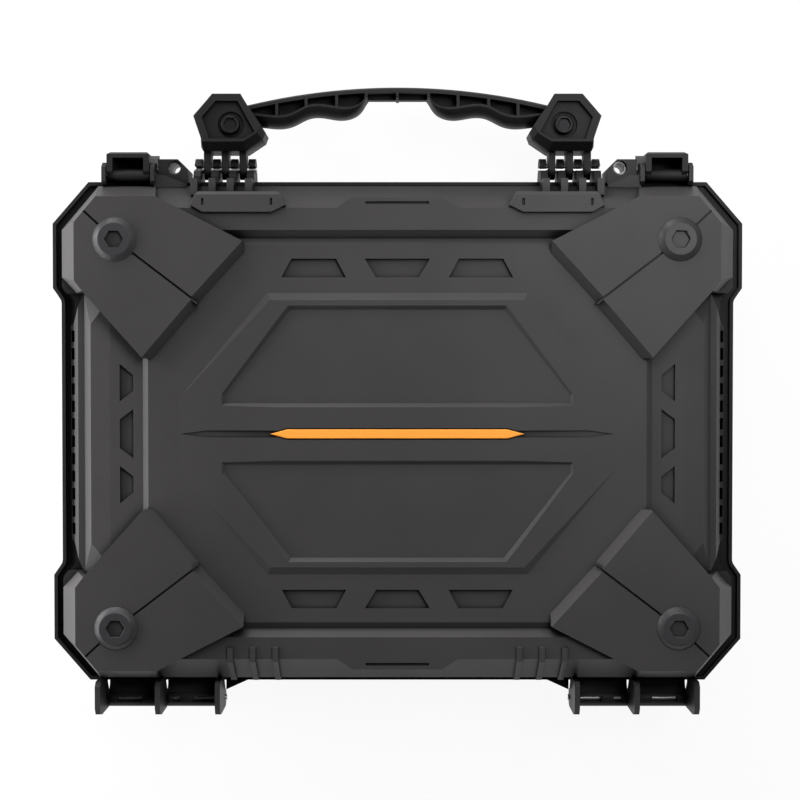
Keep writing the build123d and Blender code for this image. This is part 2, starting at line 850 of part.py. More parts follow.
    # Ribs that carry the line of the handle ears up to the hoods
    rib_low_z = handle_z + handle_ear_height + 1.0
    for side in (-1, 1):
        for ear_x in handle_ear_x:
            with BuildSketch(Plane.XY.offset(rib_low_z)):
                with Locations((side * ear_x, -lid_half_y - rib_over_ear)):
                    Rectangle(handle_ear_width, 10, align=(Align.CENTER, Align.MIN))
            extrude(amount=hood_low_z + 2 - rib_low_z)
    for guard in guards:
        add(guard, mode=Mode.SUBTRACT)
    add(hollow(0, lid_bottom_z, lid_cavity_top_z), mode=Mode.SUBTRACT)
    with Locations(*[(i * bolt_x, j * bolt_y, guard_seat_z) for i in (-1, 1) for j in (-1, 1)]):
        Hole(bolt_shank_radius + bolt_fit, depth=bolt_shank_depth - guard_top_z + guard_seat_z)
    bore_x = [side * x for side in (-1, 1) for x in hinge_ear_x]
    for x in bore_x:
        pin_hole = barrel(x, hinge_y, hinge_z, pin_radius + pin_fit, hinge_ear_width + 1)
        add(pin_hole, mode=Mode.SUBTRACT)
    for side in (-1, 1):
        hole = barrel(side * latch_x, latch_y, latch_z, latch_pin_radius + pin_fit, 2 * latch_pin_half)
        add(hole, mode=Mode.SUBTRACT)
save(lid_shell, "lid_shell")

with BuildPart() as accent_strip:
    with BuildSketch(Plane.XY.offset(strip_floor_z)):
        Polygon(*strip_plan, align=None)
    extrude(amount=strip_thickness)
    chamfer(accent_strip.faces().sort_by(Axis.Z)[-1].edges(), strip_chamfer)
save(accent_strip, "accent_strip")

# ---------------------------------------------------------------- hoods over the handle ears

# Points from the middle of the handle ears and from the lid's front face
hood_plan = [
    (17.2, 14.2),
    (10.0, 18.4),
    (-31.4, 18.4),
    (-39.8, 14.2),
    (-36.8, 8.2),
    (-35.2, 5.8),
    (12.6, 5.8),
    (14.7, 8.2),
]
hood_mid_x = handle_mid_x - 10.8
for side, name in ((-1, "handle_hood_left"), (1, "handle_hood_right")):
    with BuildPart() as hood:
        with BuildSketch(Plane.XY.offset(hood_low_z)):
            Polygon(*[(side * (handle_mid_x + x), y - lid_half_y) for x, y in hood_plan], align=None)
        extrude(amount=hood_top_z - hood_low_z)
        chamfer(hood.edges().group_by(Axis.Z)[-1].sort_by(Axis.Y)[:1], hood_chamfer)
        for slot_x in (hood_mid_x - hood_slot_half, hood_mid_x + hood_slot_half):
            with BuildSketch(Plane.XY.offset(hood_top_z - seam_depth)):
                with Locations((side * slot_x, hood_slot_reach - lid_half_y)):
                    Rectangle(seam_width, hood_slot_length)
            extrude(amount=seam_depth, mode=Mode.SUBTRACT)
        add(lid_shell.part, mode=Mode.SUBTRACT)
    save(hood, name)

# ---------------------------------------------------------------- base shell

tub_half_x, tub_half_y = rim_half_x - tub_inset[0], rim_half_y - tub_inset[1]
tub_plan = waisted(tub_half_x, tub_half_y, rim_cut, tub_waist, waist_step, waist_run)
cavity_plan = octagon(cavity_half_x, cavity_half_y, cavity_cut)
knuckle_profile = [
    (rim_half_y - 5, flange_low_z - 4),
    (rim_half_y - 5, flange_top_z),
    (rim_half_y + 3, flange_top_z),
    (hinge_y - 3, hinge_z + knuckle_radius - 1.2),
    (hinge_y, hinge_z + knuckle_radius),
    (hinge_y, hinge_z - knuckle_radius),
    (hinge_y - 7, flange_low_z - 4),
]
handle_ear_profile = [
    (-rim_half_y + 5, flange_low_z - 1),
    (-rim_half_y - 1, flange_low_z - 6),
    (handle_y, handle_z - handle_ear_radius),
    (handle_y - handle_ear_radius, handle_z),
    (handle_y - 3, handle_z + handle_ear_radius),
    (handle_y + 5.5, handle_z + handle_ear_height),
    (-lid_half_y - 0.8, handle_z + handle_ear_height),
    (-lid_half_y - 0.8, flange_top_z),
    (-rim_half_y + 5, flange_top_z),
]


def knuckle_spans():
    """Outer end, inner end and pin windows of the block between each pair of ears."""
    spans = []
    windows_of = (inner_windows, outer_windows)
    for low, high, windows in zip(hinge_ear_x, hinge_ear_x[1:], windows_of):
        clear = hinge_ear_width / 2 + hinge_play
        spans.append((high - clear, low + clear, [(high - start, width) for start, width in windows]))
    return spans


with BuildPart() as base_shell:
    with BuildSketch(Plane.XY.offset(flange_low_z)):
        Polygon(*tub_plan, align=None)
    extrude(amount=foot_height - flange_low_z, taper=tub_draft)
    chamfer(base_shell.faces().sort_by(Axis.Z)[0].edges(), tub_bottom_chamfer)
    with BuildSketch(Plane.XY.offset(flange_low_z)):
        add(rim_face(0))
    extrude(amount=flange_top_z - flange_low_z)
    with BuildSketch(Plane.XY.offset(flange_top_z)):
        add(rim_face(0))
        add(rim_face(-lip_wall), mode=Mode.SUBTRACT)
    extrude(amount=lip_height)
    # Feet in the corners and a middle pad, all in one plane
    with BuildSketch():
        foot_x, foot_y = from_corner(foot_inset)
        with GridLocations(2 * foot_x, 2 * foot_y, 2, 2):
            Rectangle(foot_length, foot_width)
        Polygon(*octagon(pad_half_x, pad_half_y, (pad_cut, pad_cut)), align=None)
    extrude(amount=foot_height)
    # Gaps in the lip for the lid's padlock tabs
    tab_mid_x = (tab_inner_x + tab_outer_x) / 2
    with BuildSketch(Plane.XY.offset(flange_top_z)):
        with Locations((-tab_mid_x, -rim_half_y), (tab_mid_x, -rim_half_y)):
            Rectangle(tab_outer_x - tab_inner_x + 2 * parting_gap, 3 * lip_wall)
    extrude(amount=lip_height, mode=Mode.SUBTRACT)
    for side in (-1, 1):
        for ear_x in handle_ear_x:
            add(upright(handle_ear_profile, side * ear_x, handle_ear_width))
            add(barrel(side * ear_x, handle_y, handle_z, handle_ear_radius, handle_ear_width))
        for outer, inner, windows in knuckle_spans():
            add(upright(knuckle_profile, side * (outer + inner) / 2, outer - inner))
            add(barrel(side * (outer + inner) / 2, hinge_y, hinge_z, knuckle_radius, outer - inner))
        gusset_x = hinge_ear_x[0] - hinge_ear_width / 2 - hinge_play
        with BuildSketch(Plane.XY.offset(flange_low_z - 4)):
            Polygon(*[(side * (gusset_x - x), rim_half_y + y) for x, y in (
                (0, -lip_wall),
                (0, hinge_gusset_depth),
                (hinge_gusset_length, 0),
                (hinge_gusset_length, -lip_wall),
            )], align=None)
        extrude(amount=flange_top_z - flange_low_z + 4)
        add(padlock_tab(tab_base_low_z, tab_base_high_z, side))
    with BuildSketch(Plane.XY.offset(tub_floor_z)):
        Polygon(*cavity_plan, align=None)
    extrude(amount=lip_top_z - tub_floor_z, mode=Mode.SUBTRACT)
    with BuildSketch(Plane.XY.offset(flange_top_z - gasket_depth)):
        add(grown(cavity_plan, gasket_land + gasket_width / 2 + pin_fit))
        add(grown(cavity_plan, gasket_land - gasket_width / 2 - pin_fit), mode=Mode.SUBTRACT)
    extrude(amount=gasket_depth, mode=Mode.SUBTRACT)
    for side in (-1, 1):
        for outer, inner, windows in knuckle_spans():
            mid_x = side * (outer + inner) / 2
            pin_hole = barrel(mid_x, hinge_y, hinge_z, pin_radius + pin_fit, outer - inner + pin_fit)
            add(pin_hole, mode=Mode.SUBTRACT)
            for start, width in windows:
                with BuildSketch(Plane.XY.offset(hinge_z)):
                    with Locations((side * (start - width / 2), hinge_y)):
                        Rectangle(width, window_width)
                extrude(amount=2 * knuckle_radius, mode=Mode.SUBTRACT)
        # Pin holes in the handle ears, open at the top so that the pin snaps in
        for ear_x in handle_ear_x:
            pin_hole = barrel(side * ear_x, handle_y, handle_z, pin_radius + pin_fit, handle_ear_width + 1)
            add(pin_hole, mode=Mode.SUBTRACT)
            with BuildSketch(Plane.XY.offset(handle_z)):
                with Locations((side * ear_x, handle_y)):
                    Rectangle(handle_ear_width + 1, handle_snap_width)
            extrude(amount=2 * handle_ear_radius, mode=Mode.SUBTRACT)
save(base_shell, "base_shell")

# ---------------------------------------------------------------- seal and foam

with BuildPart() as rim_gasket:
    with BuildSketch(Plane.XY.offset(flange_top_z - gasket_depth)):
        add(grown(cavity_plan, gasket_land + gasket_width / 2))
        add(grown(cavity_plan, gasket_land - gasket_width / 2), mode=Mode.SUBTRACT)
    extrude(amount=gasket_depth + parting_gap - 2 * pin_fit)
save(rim_gasket, "rim_gasket")

with BuildPart() as base_foam:
    with BuildSketch(Plane.XY.offset(tub_floor_z)):
        add(grown(cavity_plan, -foam_gap))
    extrude(amount=flange_top_z - foam_gap - tub_floor_z)
    with BuildSketch(Plane.XY.offset(pocket_floor_z)):
        Rectangle(2 * pocket_half_x, 2 * pocket_half_y)
        with Locations((0, -pocket_half_y), (0, pocket_half_y)):
            Circle(pocket_grip_radius)
    extrude(amount=flange_top_z - pocket_floor_z, mode=Mode.SUBTRACT)
save(base_foam, "base_foam")

with BuildPart() as lid_foam:
    add(hollow(foam_gap, flange_top_z + pad_clear, lid_cavity_top_z - foam_gap))
save(lid_foam, "lid_foam")

# ---------------------------------------------------------------- pins and padlock sleeves

hinge_pin_span = hinge_ear_x[-1] - hinge_ear_x[0] + hinge_ear_width + 2 * pin_end
hinge_pin_mid = (hinge_ear_x[-1] + hinge_ear_x[0]) / 2
handle_pin_span = handle_ear_x[0] - handle_ear_x[-1] + handle_ear_width + pin_end

for side, name in ((-1, "left"), (1, "right")):
    with BuildPart() as hinge_pin:
        add(barrel(side * hinge_pin_mid, hinge_y, hinge_z, pin_radius, hinge_pin_span))
    save(hinge_pin, f"hinge_pin_{name}")
    with BuildPart() as handle_pin:
        add(barrel(side * handle_mid_x, handle_y, handle_z, pin_radius, handle_pin_span))
    save(handle_pin, f"handle_pin_{name}")
    with BuildPart() as latch_pin:
        add(barrel(side * latch_x, latch_y, latch_z, latch_pin_radius, 2 * latch_pin_half - 0.2))
    save(latch_pin, f"latch_pin_{name}")


def padlock_sleeves(low_z, high_z):
    """Pair of steel eyelets, one in each tab of a shell."""
    with BuildPart() as sleeves:
        with BuildSketch(Plane.XY.offset(low_z)):
            with Locations((-padlock_x, padlock_y), (padlock_x, padlock_y)):
                Circle(padlock_radius + sleeve_wall)
                Circle(padlock_radius, mode=Mode.SUBTRACT)
        extrude(amount=high_z - low_z)
    return sleeves


save(padlock_sleeves(tab_base_low_z, tab_base_high_z), "base_padlock_sleeves")
save(padlock_sleeves(lid_bottom_z, tab_lid_high_z - sleeve_recess), "lid_padlock_sleeves")

# ---------------------------------------------------------------- latches

latch_arm_profile = [
    (latch_plate_inner_y - 1, latch_top_z),
    (latch_y - 2, latch_top_z),
    (latch_y + latch_boss_radius, latch_z),
    (latch_y + latch_boss_radius, latch_z - 4),
    (latch_claw_y - 0.6, lip_top_z + 3),
    (latch_claw_y - 0.6, latch_claw_top_z),
    (latch_claw_y, latch_claw_top_z - 1),
    (latch_claw_y, latch_claw_low_z + 1.5),
    (latch_claw_y - 4, latch_claw_low_z - 2),
    (latch_plate_inner_y - 1, latch_claw_low_z - 6),
]
latch_plate_profile = [
    (latch_plate_inner_y, latch_top_z),
    (latch_plate_outer_y + 1.5, latch_top_z),
    (latch_plate_outer_y, latch_top_z - 4),
    (latch_plate_outer_y, latch_low_z + 9),
    (latch_plate_outer_y - 3, latch_low_z),
    (latch_plate_outer_y + 0.5, latch_low_z),
    (latch_plate_inner_y, latch_low_z + 9),
]
latch_claw_profile = [
    (latch_plate_inner_y - 1, latch_claw_top_z - 2),
    (latch_claw_y - 2, latch_claw_top_z - 1),
    (latch_claw_y, latch_claw_top_z - 2),
    (latch_claw_y, latch_claw_low_z + 1),
    (latch_claw_y - 3, latch_claw_low_z - 1),
    (latch_plate_inner_y - 1, latch_claw_low_z - 4),
]
for side, name in ((-1, "latch_lever_left"), (1, "latch_lever_right")):
    with BuildPart() as latch_lever:
        add(upright(latch_plate_profile, side * latch_x, latch_width))
        chamfer(latch_lever.edges().filter_by(Axis.Z).group_by(Axis.Y)[0], 1.8)
        for flank in (-1, 1):
            arm_x = side * latch_x + flank * (latch_width - latch_arm) / 2
            add(upright(latch_arm_profile, arm_x, latch_arm))
            add(barrel(arm_x, latch_y, latch_z, latch_boss_radius, latch_arm))
        add(upright(latch_claw_profile, side * latch_x, latch_width - latch_arm))
        add(barrel(side * latch_x, latch_y, latch_z, latch_boss_radius, latch_width - latch_arm))
        hole = barrel(side * latch_x, latch_y, latch_z, latch_pin_radius + pin_fit, latch_width + 1)
        add(hole, mode=Mode.SUBTRACT)
        with BuildSketch(Plane.XZ.offset(-latch_plate_outer_y)):
            with Locations((side * latch_x, latch_z - latch_grip_height)):
                Rectangle(latch_width - 10, latch_grip_height)
        extrude(amount=-latch_grip_depth, mode=Mode.SUBTRACT)
    save(latch_lever, name)

# ---------------------------------------------------------------- handle

# Pod outline from the middle of the ears and the pivot, the case's side last
pod_plan = [
    (-11.0, -43.9),
    (6.2, -43.9),
    (17.8, -30.5),
    (13.2, -16.6),
    (14.1, -12.7),
    (12.9, -pod_bottom),
    (-13.4, -pod_bottom),
    (-24.0, -17.3),
    (-25.6, -21.5),
    (-15.2, -36.9),
]
# Upper end of the pod, with the case's side sloped away
pod_cap = [
    (-11.0, -43.9),
    (6.2, -43.9),
    (17.8, -30.5),
    (13.4, -17.4),
    (13.2, -17.0),
    (12.9, -pod_bottom - pod_chamfer),
    (-12.4, -pod_bottom - pod_chamfer),
    (-20.9, -20.1),
    (-23.4, -24.9),
    (-15.2, -36.9),
]
# Recess in that end, with a narrower rim on the case's side
pod_recess = [
    (-9.1, -43.9 + pod_rim_width),
    (4.2, -43.9 + pod_rim_width),
    (12.6, -29.7),
    (8.6, -17.7),
    (8.2, -pod_bottom - pod_chamfer - pod_rim_width_case),
    (-13.0, -pod_bottom - pod_chamfer - pod_rim_width_case),
    (-19.6, -20.8),
    (-11.2, -36.2),
]
# Case side of the grip: share of its half length, Y from the pivot, share of the rounding
grip_lower_shape = [
    (0.213, -40.6, 0.3),
    (0.3, -32.5, 0.8),
    (0.378, -31.3, 1),
    (0.512, -33.0, 1),
    (0.588, -32.2, 1),
    (0.683, -27.9, 1),
    (0.757, -26.1, 1),
    (0.864, -26.5, 1),
    (1.0, -27.5, 1),
]
grip_notch_shape = (0.198, -42.7, 0.3)
grip_web_shares = [0.0, 0.205, 0.398, 0.598, 0.791]
# Rounded section of the grip: share of its height, and share of the rounding drawn in
grip_levels = [(0, 1), (0.1, 0.4), (0.28, 0), (0.72, 0), (0.9, 0.4), (1, 1)]


def grip_crown(x):
    """Y of the grip's arched outer edge, on a circle through its crown and ends."""
    rise = grip_end_y - grip_crown_y
    radius = (grip_end_x ** 2 + rise ** 2) / (2 * rise)
    return grip_crown_y + radius - (radius ** 2 - x ** 2) ** 0.5


def on_grip(shape, drawn_in):
    return (shape[0] * grip_end_x, handle_y + shape[1] - shape[2] * drawn_in)


def mirrored(points):
    return [(-x, y) for x, y in points]


def grip_outline(case_in, crown_in):
    """Face of the grip's outline, its case side and its crown drawn in."""
    lower = [on_grip(shape, case_in) for shape in grip_lower_shape]
    notch = on_grip(grip_notch_shape, case_in)
    left_end = (-grip_end_x, grip_end_y + crown_in)
    right_end = (grip_end_x, grip_end_y + crown_in)
    with BuildSketch() as face:
        with BuildLine():
            ThreePointArc(left_end, (0, grip_crown_y + crown_in), right_end)
            Line(right_end, lower[-1])
            Spline(*reversed(lower))
            Polyline(lower[0], notch, *mirrored([notch, lower[0]]))
            Spline(*mirrored(lower))
            Line(*mirrored([lower[-1]]), left_end)
        make_face()
    return face.sketch


def pod_outline(points, side):
    return [(side * (handle_mid_x + x), handle_y + y) for x, y in points]


def grip_pockets():
    """Face of the pockets: closed ones between the webs, and two open towards the case."""
    crown_in = grip_crown_round + grip_crown_rim
    with BuildSketch() as face:
        add(grip_outline(grip_case_round + grip_case_rim, crown_in))
        for web in grip_web_shares[1:]:
            with Locations((web * grip_end_x, grip_crown_y), (-web * grip_end_x, grip_crown_y)):
                Rectangle(grip_web, 2 * grip_crown_reach, mode=Mode.SUBTRACT)
        inner, outer = grip_web / 2, grip_web_shares[1] * grip_end_x - grip_web / 2
        with Locations((0, grip_crown_y)):
            Rectangle(2 * outer, 2 * grip_crown_reach, mode=Mode.SUBTRACT)
        open_pocket = [
            (inner, grip_crown(inner) + crown_in),
            (outer, grip_crown(outer) + crown_in),
            (outer, handle_y + grip_notch_shape[1] + grip_case_rim),
            (inner, handle_y + grip_notch_shape[1] + grip_case_rim),
        ]
        Polygon(*open_pocket, align=None)
        Polygon(*mirrored(open_pocket), align=None)
    return face.sketch


with BuildPart() as handle_grip:
    for height_share, round_share in grip_levels:
        level_z = grip_low_z + height_share * (grip_high_z - grip_low_z)
        with BuildSketch(Plane.XY.offset(level_z)):
            add(grip_outline(round_share * grip_case_round, round_share * grip_crown_round))
    loft(ruled=True)
    for pocket_z in (grip_high_z - grip_pocket_depth, grip_low_z):
        with BuildSketch(Plane.XY.offset(pocket_z)):
            add(grip_pockets())
        extrude(amount=grip_pocket_depth, mode=Mode.SUBTRACT)
    for side in (-1, 1):
        with BuildSketch(Plane.XY.offset(pod_low_z)):
            Polygon(*pod_outline(pod_plan, side), align=None)
        extrude(amount=pod_high_z - pod_low_z, mode=Mode.SUBTRACT)
save(handle_grip, "handle_grip")

for side, name in ((-1, "left"), (1, "right")):
    with BuildPart() as handle_pod:
        with BuildSketch(Plane.XY.offset(pod_low_z + pod_chamfer_height)):
            Polygon(*pod_outline(pod_plan, side), align=None)
        extrude(amount=pod_high_z - pod_low_z - 2 * pod_chamfer_height)
        for face_z, into in ((pod_high_z, -1), (pod_low_z, 1)):
            with BuildSketch(Plane.XY.offset(face_z + into * pod_chamfer_height)):
                Polygon(*pod_outline(pod_plan, side), align=None)
            with BuildSketch(Plane.XY.offset(face_z)):
                Polygon(*pod_outline(pod_cap, side), align=None)
            loft(ruled=True)
            with BuildSketch(Plane.XY.offset(face_z)):
                Polygon(*pod_outline(pod_recess, side), align=None)
            extrude(amount=into * pod_rim, mode=Mode.SUBTRACT)
        with BuildSketch(Plane.XY.offset(pod_high_z - pod_rim)):
            with Locations((side * pod_bolt_x, pod_bolt_y)):
                Circle(pod_well_radius)
        extrude(amount=-pod_well_depth, mode=Mode.SUBTRACT)
        for x in handle_lug_x:
            lug_profile = [
                (pod_bottom_y - 1, handle_z - handle_lug_radius),
                (pod_bottom_y - 1, handle_z + handle_lug_radius),
                (handle_y, handle_z + handle_lug_radius),
                (handle_y, handle_z - handle_lug_radius),
            ]
            add(upright(lug_profile, side * x, handle_lug_width))
            add(barrel(side * x, handle_y, handle_z, handle_lug_radius, handle_lug_width))
        for x in handle_lug_x:
            hole = barrel(side * x, handle_y, handle_z, pin_radius + pin_fit, handle_lug_width + 1)
            add(hole, mode=Mode.SUBTRACT)
    save(handle_pod, f"handle_pod_{name}")
    with BuildPart() as bolt:
        bolt_seat_z = pod_high_z - pod_rim - pod_well_depth
        with BuildSketch(Plane.XY.offset(bolt_seat_z)):
            with Locations((side * pod_bolt_x, pod_bolt_y)):
                Circle(pod_bolt_radius)
        extrude(amount=pod_bolt_height)
        chamfer(bolt.faces().sort_by(Axis.Z)[-1].edges(), 0.7)
        with BuildSketch(Plane.XY.offset(bolt_seat_z + pod_bolt_height)):
            with Locations((side * pod_bolt_x, pod_bolt_y)):
                RegularPolygon(pod_socket_corner_radius, 6)
        extrude(amount=-socket_depth, mode=Mode.SUBTRACT)
    save(bolt, f"pod_bolt_{name}")
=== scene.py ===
# Looks, floor and lights of the laptop hard case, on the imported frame, in metres.
# The case lies flat, its handle and latches towards -Y. The photo's left is +X.

import json
import math

import bpy
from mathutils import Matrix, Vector, noise


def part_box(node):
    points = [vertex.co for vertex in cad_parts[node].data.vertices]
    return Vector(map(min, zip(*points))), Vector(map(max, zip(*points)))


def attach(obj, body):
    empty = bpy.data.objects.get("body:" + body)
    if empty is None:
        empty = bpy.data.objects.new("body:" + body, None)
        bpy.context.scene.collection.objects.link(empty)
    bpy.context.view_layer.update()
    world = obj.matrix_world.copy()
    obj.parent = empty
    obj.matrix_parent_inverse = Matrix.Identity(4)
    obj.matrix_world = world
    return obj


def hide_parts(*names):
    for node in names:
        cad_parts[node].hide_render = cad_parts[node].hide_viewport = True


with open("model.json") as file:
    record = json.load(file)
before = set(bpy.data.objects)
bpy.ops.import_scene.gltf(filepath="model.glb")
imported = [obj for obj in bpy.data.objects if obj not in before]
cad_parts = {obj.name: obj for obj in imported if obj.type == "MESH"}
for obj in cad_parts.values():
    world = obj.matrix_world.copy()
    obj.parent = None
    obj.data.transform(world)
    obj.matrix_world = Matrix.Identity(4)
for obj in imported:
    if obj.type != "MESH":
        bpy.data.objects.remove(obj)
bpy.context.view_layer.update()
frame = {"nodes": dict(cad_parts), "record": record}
nodes = frame["nodes"]

MM = 0.001

# ---------------------------------------------------------------- camera

# Read off the photo: its width and the lens's focal length in pixels.
IMAGE_PIXELS = 800
LENS_PIXELS = 1520.0
SENSOR_MM = 36.0
TILT_DEG = 1.2
CAMERA_X = -1.6 * MM
CAMERA_Y = -39.6 * MM
CAMERA_Z = 997.0 * MM
CLIP_NEAR = 0.05
CLIP_FAR = 20.0

camera_data = bpy.data.cameras.new("camera")
camera_data.sensor_width = SENSOR_MM
camera_data.lens = LENS_PIXELS / IMAGE_PIXELS * SENSOR_MM
camera_data.clip_start = CLIP_NEAR
camera_data.clip_end = CLIP_FAR
camera = bpy.data.objects.new("camera", camera_data)
camera.location = (CAMERA_X, CAMERA_Y, CAMERA_Z)
camera.rotation_euler = (math.radians(-TILT_DEG), 0, math.pi)
bpy.context.scene.collection.objects.link(camera)
bpy.context.scene.camera = camera

# ---------------------------------------------------------------- materials

# Painted shade in crevices: its reach, how open a spot is (0..1) where it is darkest and where it
# ends, darkest share
PAINTED_SHADE_MM = 9.0
PAINTED_SHADE_OPEN = (0.35, 0.92)
PAINTED_SHADE_DARK = 0.12
PAINTED_SHADE_SAMPLES = 8

# Painted shade on the lid's low flanks: height on the closed case where it is darkest, where that
# ends, darkest share
LID_FLANK_SHADE = (54.0, 80.0, 0.2)

# Noise fields: features per metre, detail, roughness
FLOW_MARKS = (14.0, 4.0, 0.6)
RUB_MARKS = (45.0, 5.0, 0.65)
RUB_ROUGHNESS = 0.02
GRAIN_DETAIL = (2.0, 0.6)
GRAIN_STRENGTH = 0.35
GRAIN_MM = 0.05

NOISE_MIDDLE = (0.3, 0.7)
TONE_MIDDLE = (0.35, 0.65)

STREAKS = (2500.0, 3.0, 0.6)
STREAK_STRETCH = 0.04
STREAK_DARK = 0.85
STREAK_ROUGHNESS = 0.15
STREAK_STRENGTH = 0.2
STREAK_MM = 0.01

FOAM_ROUGHNESS = 0.95
FOAM_GLOSS = 0.1
FOAM_CELLS_PER_M = 900.0
# Painted shade in the foam's pits: their share of the foam's colour
FOAM_PIT_SHADE = 0.35
FOAM_PIT_STRENGTH = 0.8
FOAM_PIT_MM = 0.5


def new_material(name):
    material = bpy.data.materials.new(name)
    material.use_nodes = True
    tree = material.node_tree
    shader = tree.nodes["Principled BSDF"]
    place = tree.nodes.new("ShaderNodeTexCoord")
    return material, tree, shader, place.outputs["Object"]


def noise_field(tree, place, scale, detail, roughness):
    field = tree.nodes.new("ShaderNodeTexNoise")
    field.inputs["Scale"].default_value = scale
    field.inputs["Detail"].default_value = detail
    field.inputs["Roughness"].default_value = roughness
    tree.links.new(place, field.inputs["Vector"])
    return field.outputs["Fac"]


def map_range(tree, value, start, end, low, high):
    """Maps start..end to low..high, and holds the ends."""
    node = tree.nodes.new("ShaderNodeMapRange")
    node.inputs["From Min"].default_value = start
    node.inputs["From Max"].default_value = end
    node.inputs["To Min"].default_value = low
    node.inputs["To Max"].default_value = high
    tree.links.new(value, node.inputs["Value"])
    return node.outputs["Result"]


def two_tones(tree, value, dark, light):
    ramp = tree.nodes.new("ShaderNodeValToRGB")
    for stop, position, tone in zip(ramp.color_ramp.elements, TONE_MIDDLE, (dark, light)):
        stop.position = position
        stop.color = (*tone, 1)
    tree.links.new(value, ramp.inputs["Fac"])
    return ramp.outputs["Color"]


def painted_crevice_shade(tree):
    """Painted shade: a factor that falls below 1 in corners, gaps and grooves, where shade falls.
    """
    hidden = tree.nodes.new("ShaderNodeAmbientOcclusion")
    hidden.samples = PAINTED_SHADE_SAMPLES
    hidden.inputs["Distance"].default_value = PAINTED_SHADE_MM * MM
    return map_range(tree, hidden.outputs["AO"], *PAINTED_SHADE_OPEN, PAINTED_SHADE_DARK, 1.0)


def shaded(tree, colour, factor):
    node = tree.nodes.new("ShaderNodeVectorMath")
    node.operation = "SCALE"
    tree.links.new(colour, node.inputs["Vector"])
    tree.links.new(factor, node.inputs["Scale"])
    return node.outputs["Vector"]


def bump(tree, shader, height, strength, depth_mm):
    node = tree.nodes.new("ShaderNodeBump")
    node.inputs["Strength"].default_value = strength
    node.inputs["Distance"].default_value = depth_mm * MM
    tree.links.new(height, node.inputs["Height"])
    tree.links.new(node.outputs["Normal"], shader.inputs["Normal"])


def painted_flank_shade(tree, place, low_mm, high_mm, dark):
    """Painted shade: a factor that rises from dark at one height of the closed case to 1 at
    another.
    """
    parts = tree.nodes.new("ShaderNodeSeparateXYZ")
    tree.links.new(place, parts.inputs["Vector"])
    return map_range(tree, parts.outputs["Z"], low_mm * MM, high_mm * MM, dark, 1.0)


def moulded(name, colour, roughness, gloss, grain_per_m, tone):
    """Moulded plastic: fine spark-eroded grain, faint flow marks and handling sheen, with painted
    shade in crevices and, on the lid, on its low flanks.
    """
    material, tree, shader, place = new_material(name)
    shader.inputs["Specular IOR Level"].default_value = gloss
    flow = noise_field(tree, place, *FLOW_MARKS)
    dark = tuple(c * (1 - tone) for c in colour)
    light = tuple(c * (1 + tone) for c in colour)
    colours = two_tones(tree, flow, dark, light)
    # Painted shade: the colour darkens in corners, gaps and grooves
    colours = shaded(tree, colours, painted_crevice_shade(tree))
    # Painted shade: the lid's colour darkens towards its rim
    if name == "lid_plastic":
        colours = shaded(tree, colours, painted_flank_shade(tree, place, *LID_FLANK_SHADE))
    tree.links.new(colours, shader.inputs["Base Color"])
    rub = noise_field(tree, place, *RUB_MARKS)
    smooth, rough = roughness - RUB_ROUGHNESS, roughness + RUB_ROUGHNESS
    sheen = map_range(tree, rub, *NOISE_MIDDLE, smooth, rough)
    tree.links.new(sheen, shader.inputs["Roughness"])
    grain = noise_field(tree, place, grain_per_m, *GRAIN_DETAIL)
    bump(tree, shader, grain, GRAIN_STRENGTH, GRAIN_MM)
    return material


def metal(name, colour, roughness):
    """Drawn or ground steel, with fine streaks along X."""
    material, tree, shader, place = new_material(name)
    shader.inputs["Metallic"].default_value = 1.0
    stretch = tree.nodes.new("ShaderNodeMapping")
    stretch.inputs["Scale"].default_value = (STREAK_STRETCH, 1.0, 1.0)
    tree.links.new(place, stretch.inputs["Vector"])
    lines = noise_field(tree, stretch.outputs["Vector"], *STREAKS)
    dark = tuple(c * STREAK_DARK for c in colour)
    tree.links.new(two_tones(tree, lines, dark, colour), shader.inputs["Base Color"])
    sheen = map_range(tree, lines, *NOISE_MIDDLE, roughness, roughness + STREAK_ROUGHNESS)
    tree.links.new(sheen, shader.inputs["Roughness"])
    bump(tree, shader, lines, STREAK_STRENGTH, STREAK_MM)
    return material


def open_cell_foam(name, colour):
    """Open-cell foam: small pits and a soft, uneven surface."""
    material, tree, shader, place = new_material(name)
    shader.inputs["Roughness"].default_value = FOAM_ROUGHNESS
    shader.inputs["Specular IOR Level"].default_value = FOAM_GLOSS
    cells = tree.nodes.new("ShaderNodeTexVoronoi")
    cells.inputs["Scale"].default_value = FOAM_CELLS_PER_M
    tree.links.new(place, cells.inputs["Vector"])
    pits = cells.outputs["Distance"]
    # The pits are painted darker than the cell walls: painted shade in the cells
    dark = tuple(c * FOAM_PIT_SHADE for c in colour)
    tree.links.new(two_tones(tree, pits, dark, colour), shader.inputs["Base Color"])
    bump(tree, shader, pits, FOAM_PIT_STRENGTH, FOAM_PIT_MM)
    return material


# name: colour, roughness, gloss, grain per metre, unevenness of tone
PLASTICS = {
    "lid_plastic": ((0.0412, 0.0392, 0.0403), 0.48, 0.15, 1400.0, 0.06),
    "guard_plastic": ((0.0412, 0.0392, 0.0403), 0.48, 0.15, 1400.0, 0.06),
    "base_plastic": ((0.014, 0.014, 0.015), 0.5, 0.1, 1400.0, 0.06),
    "handle_plastic": ((0.015, 0.015, 0.016), 0.5, 0.1, 900.0, 0.08),
    "latch_plastic": ((0.015, 0.015, 0.016), 0.48, 0.1, 1400.0, 0.06),
    "bolt_plastic": ((0.031, 0.031, 0.033), 0.42, 0.2, 1400.0, 0.06),
    "accent": ((0.90, 0.34, 0.05), 0.45, 0.1, 1400.0, 0.02),
    "seal_rubber": ((0.02, 0.02, 0.02), 0.7, 0.1, 700.0, 0.06),
}

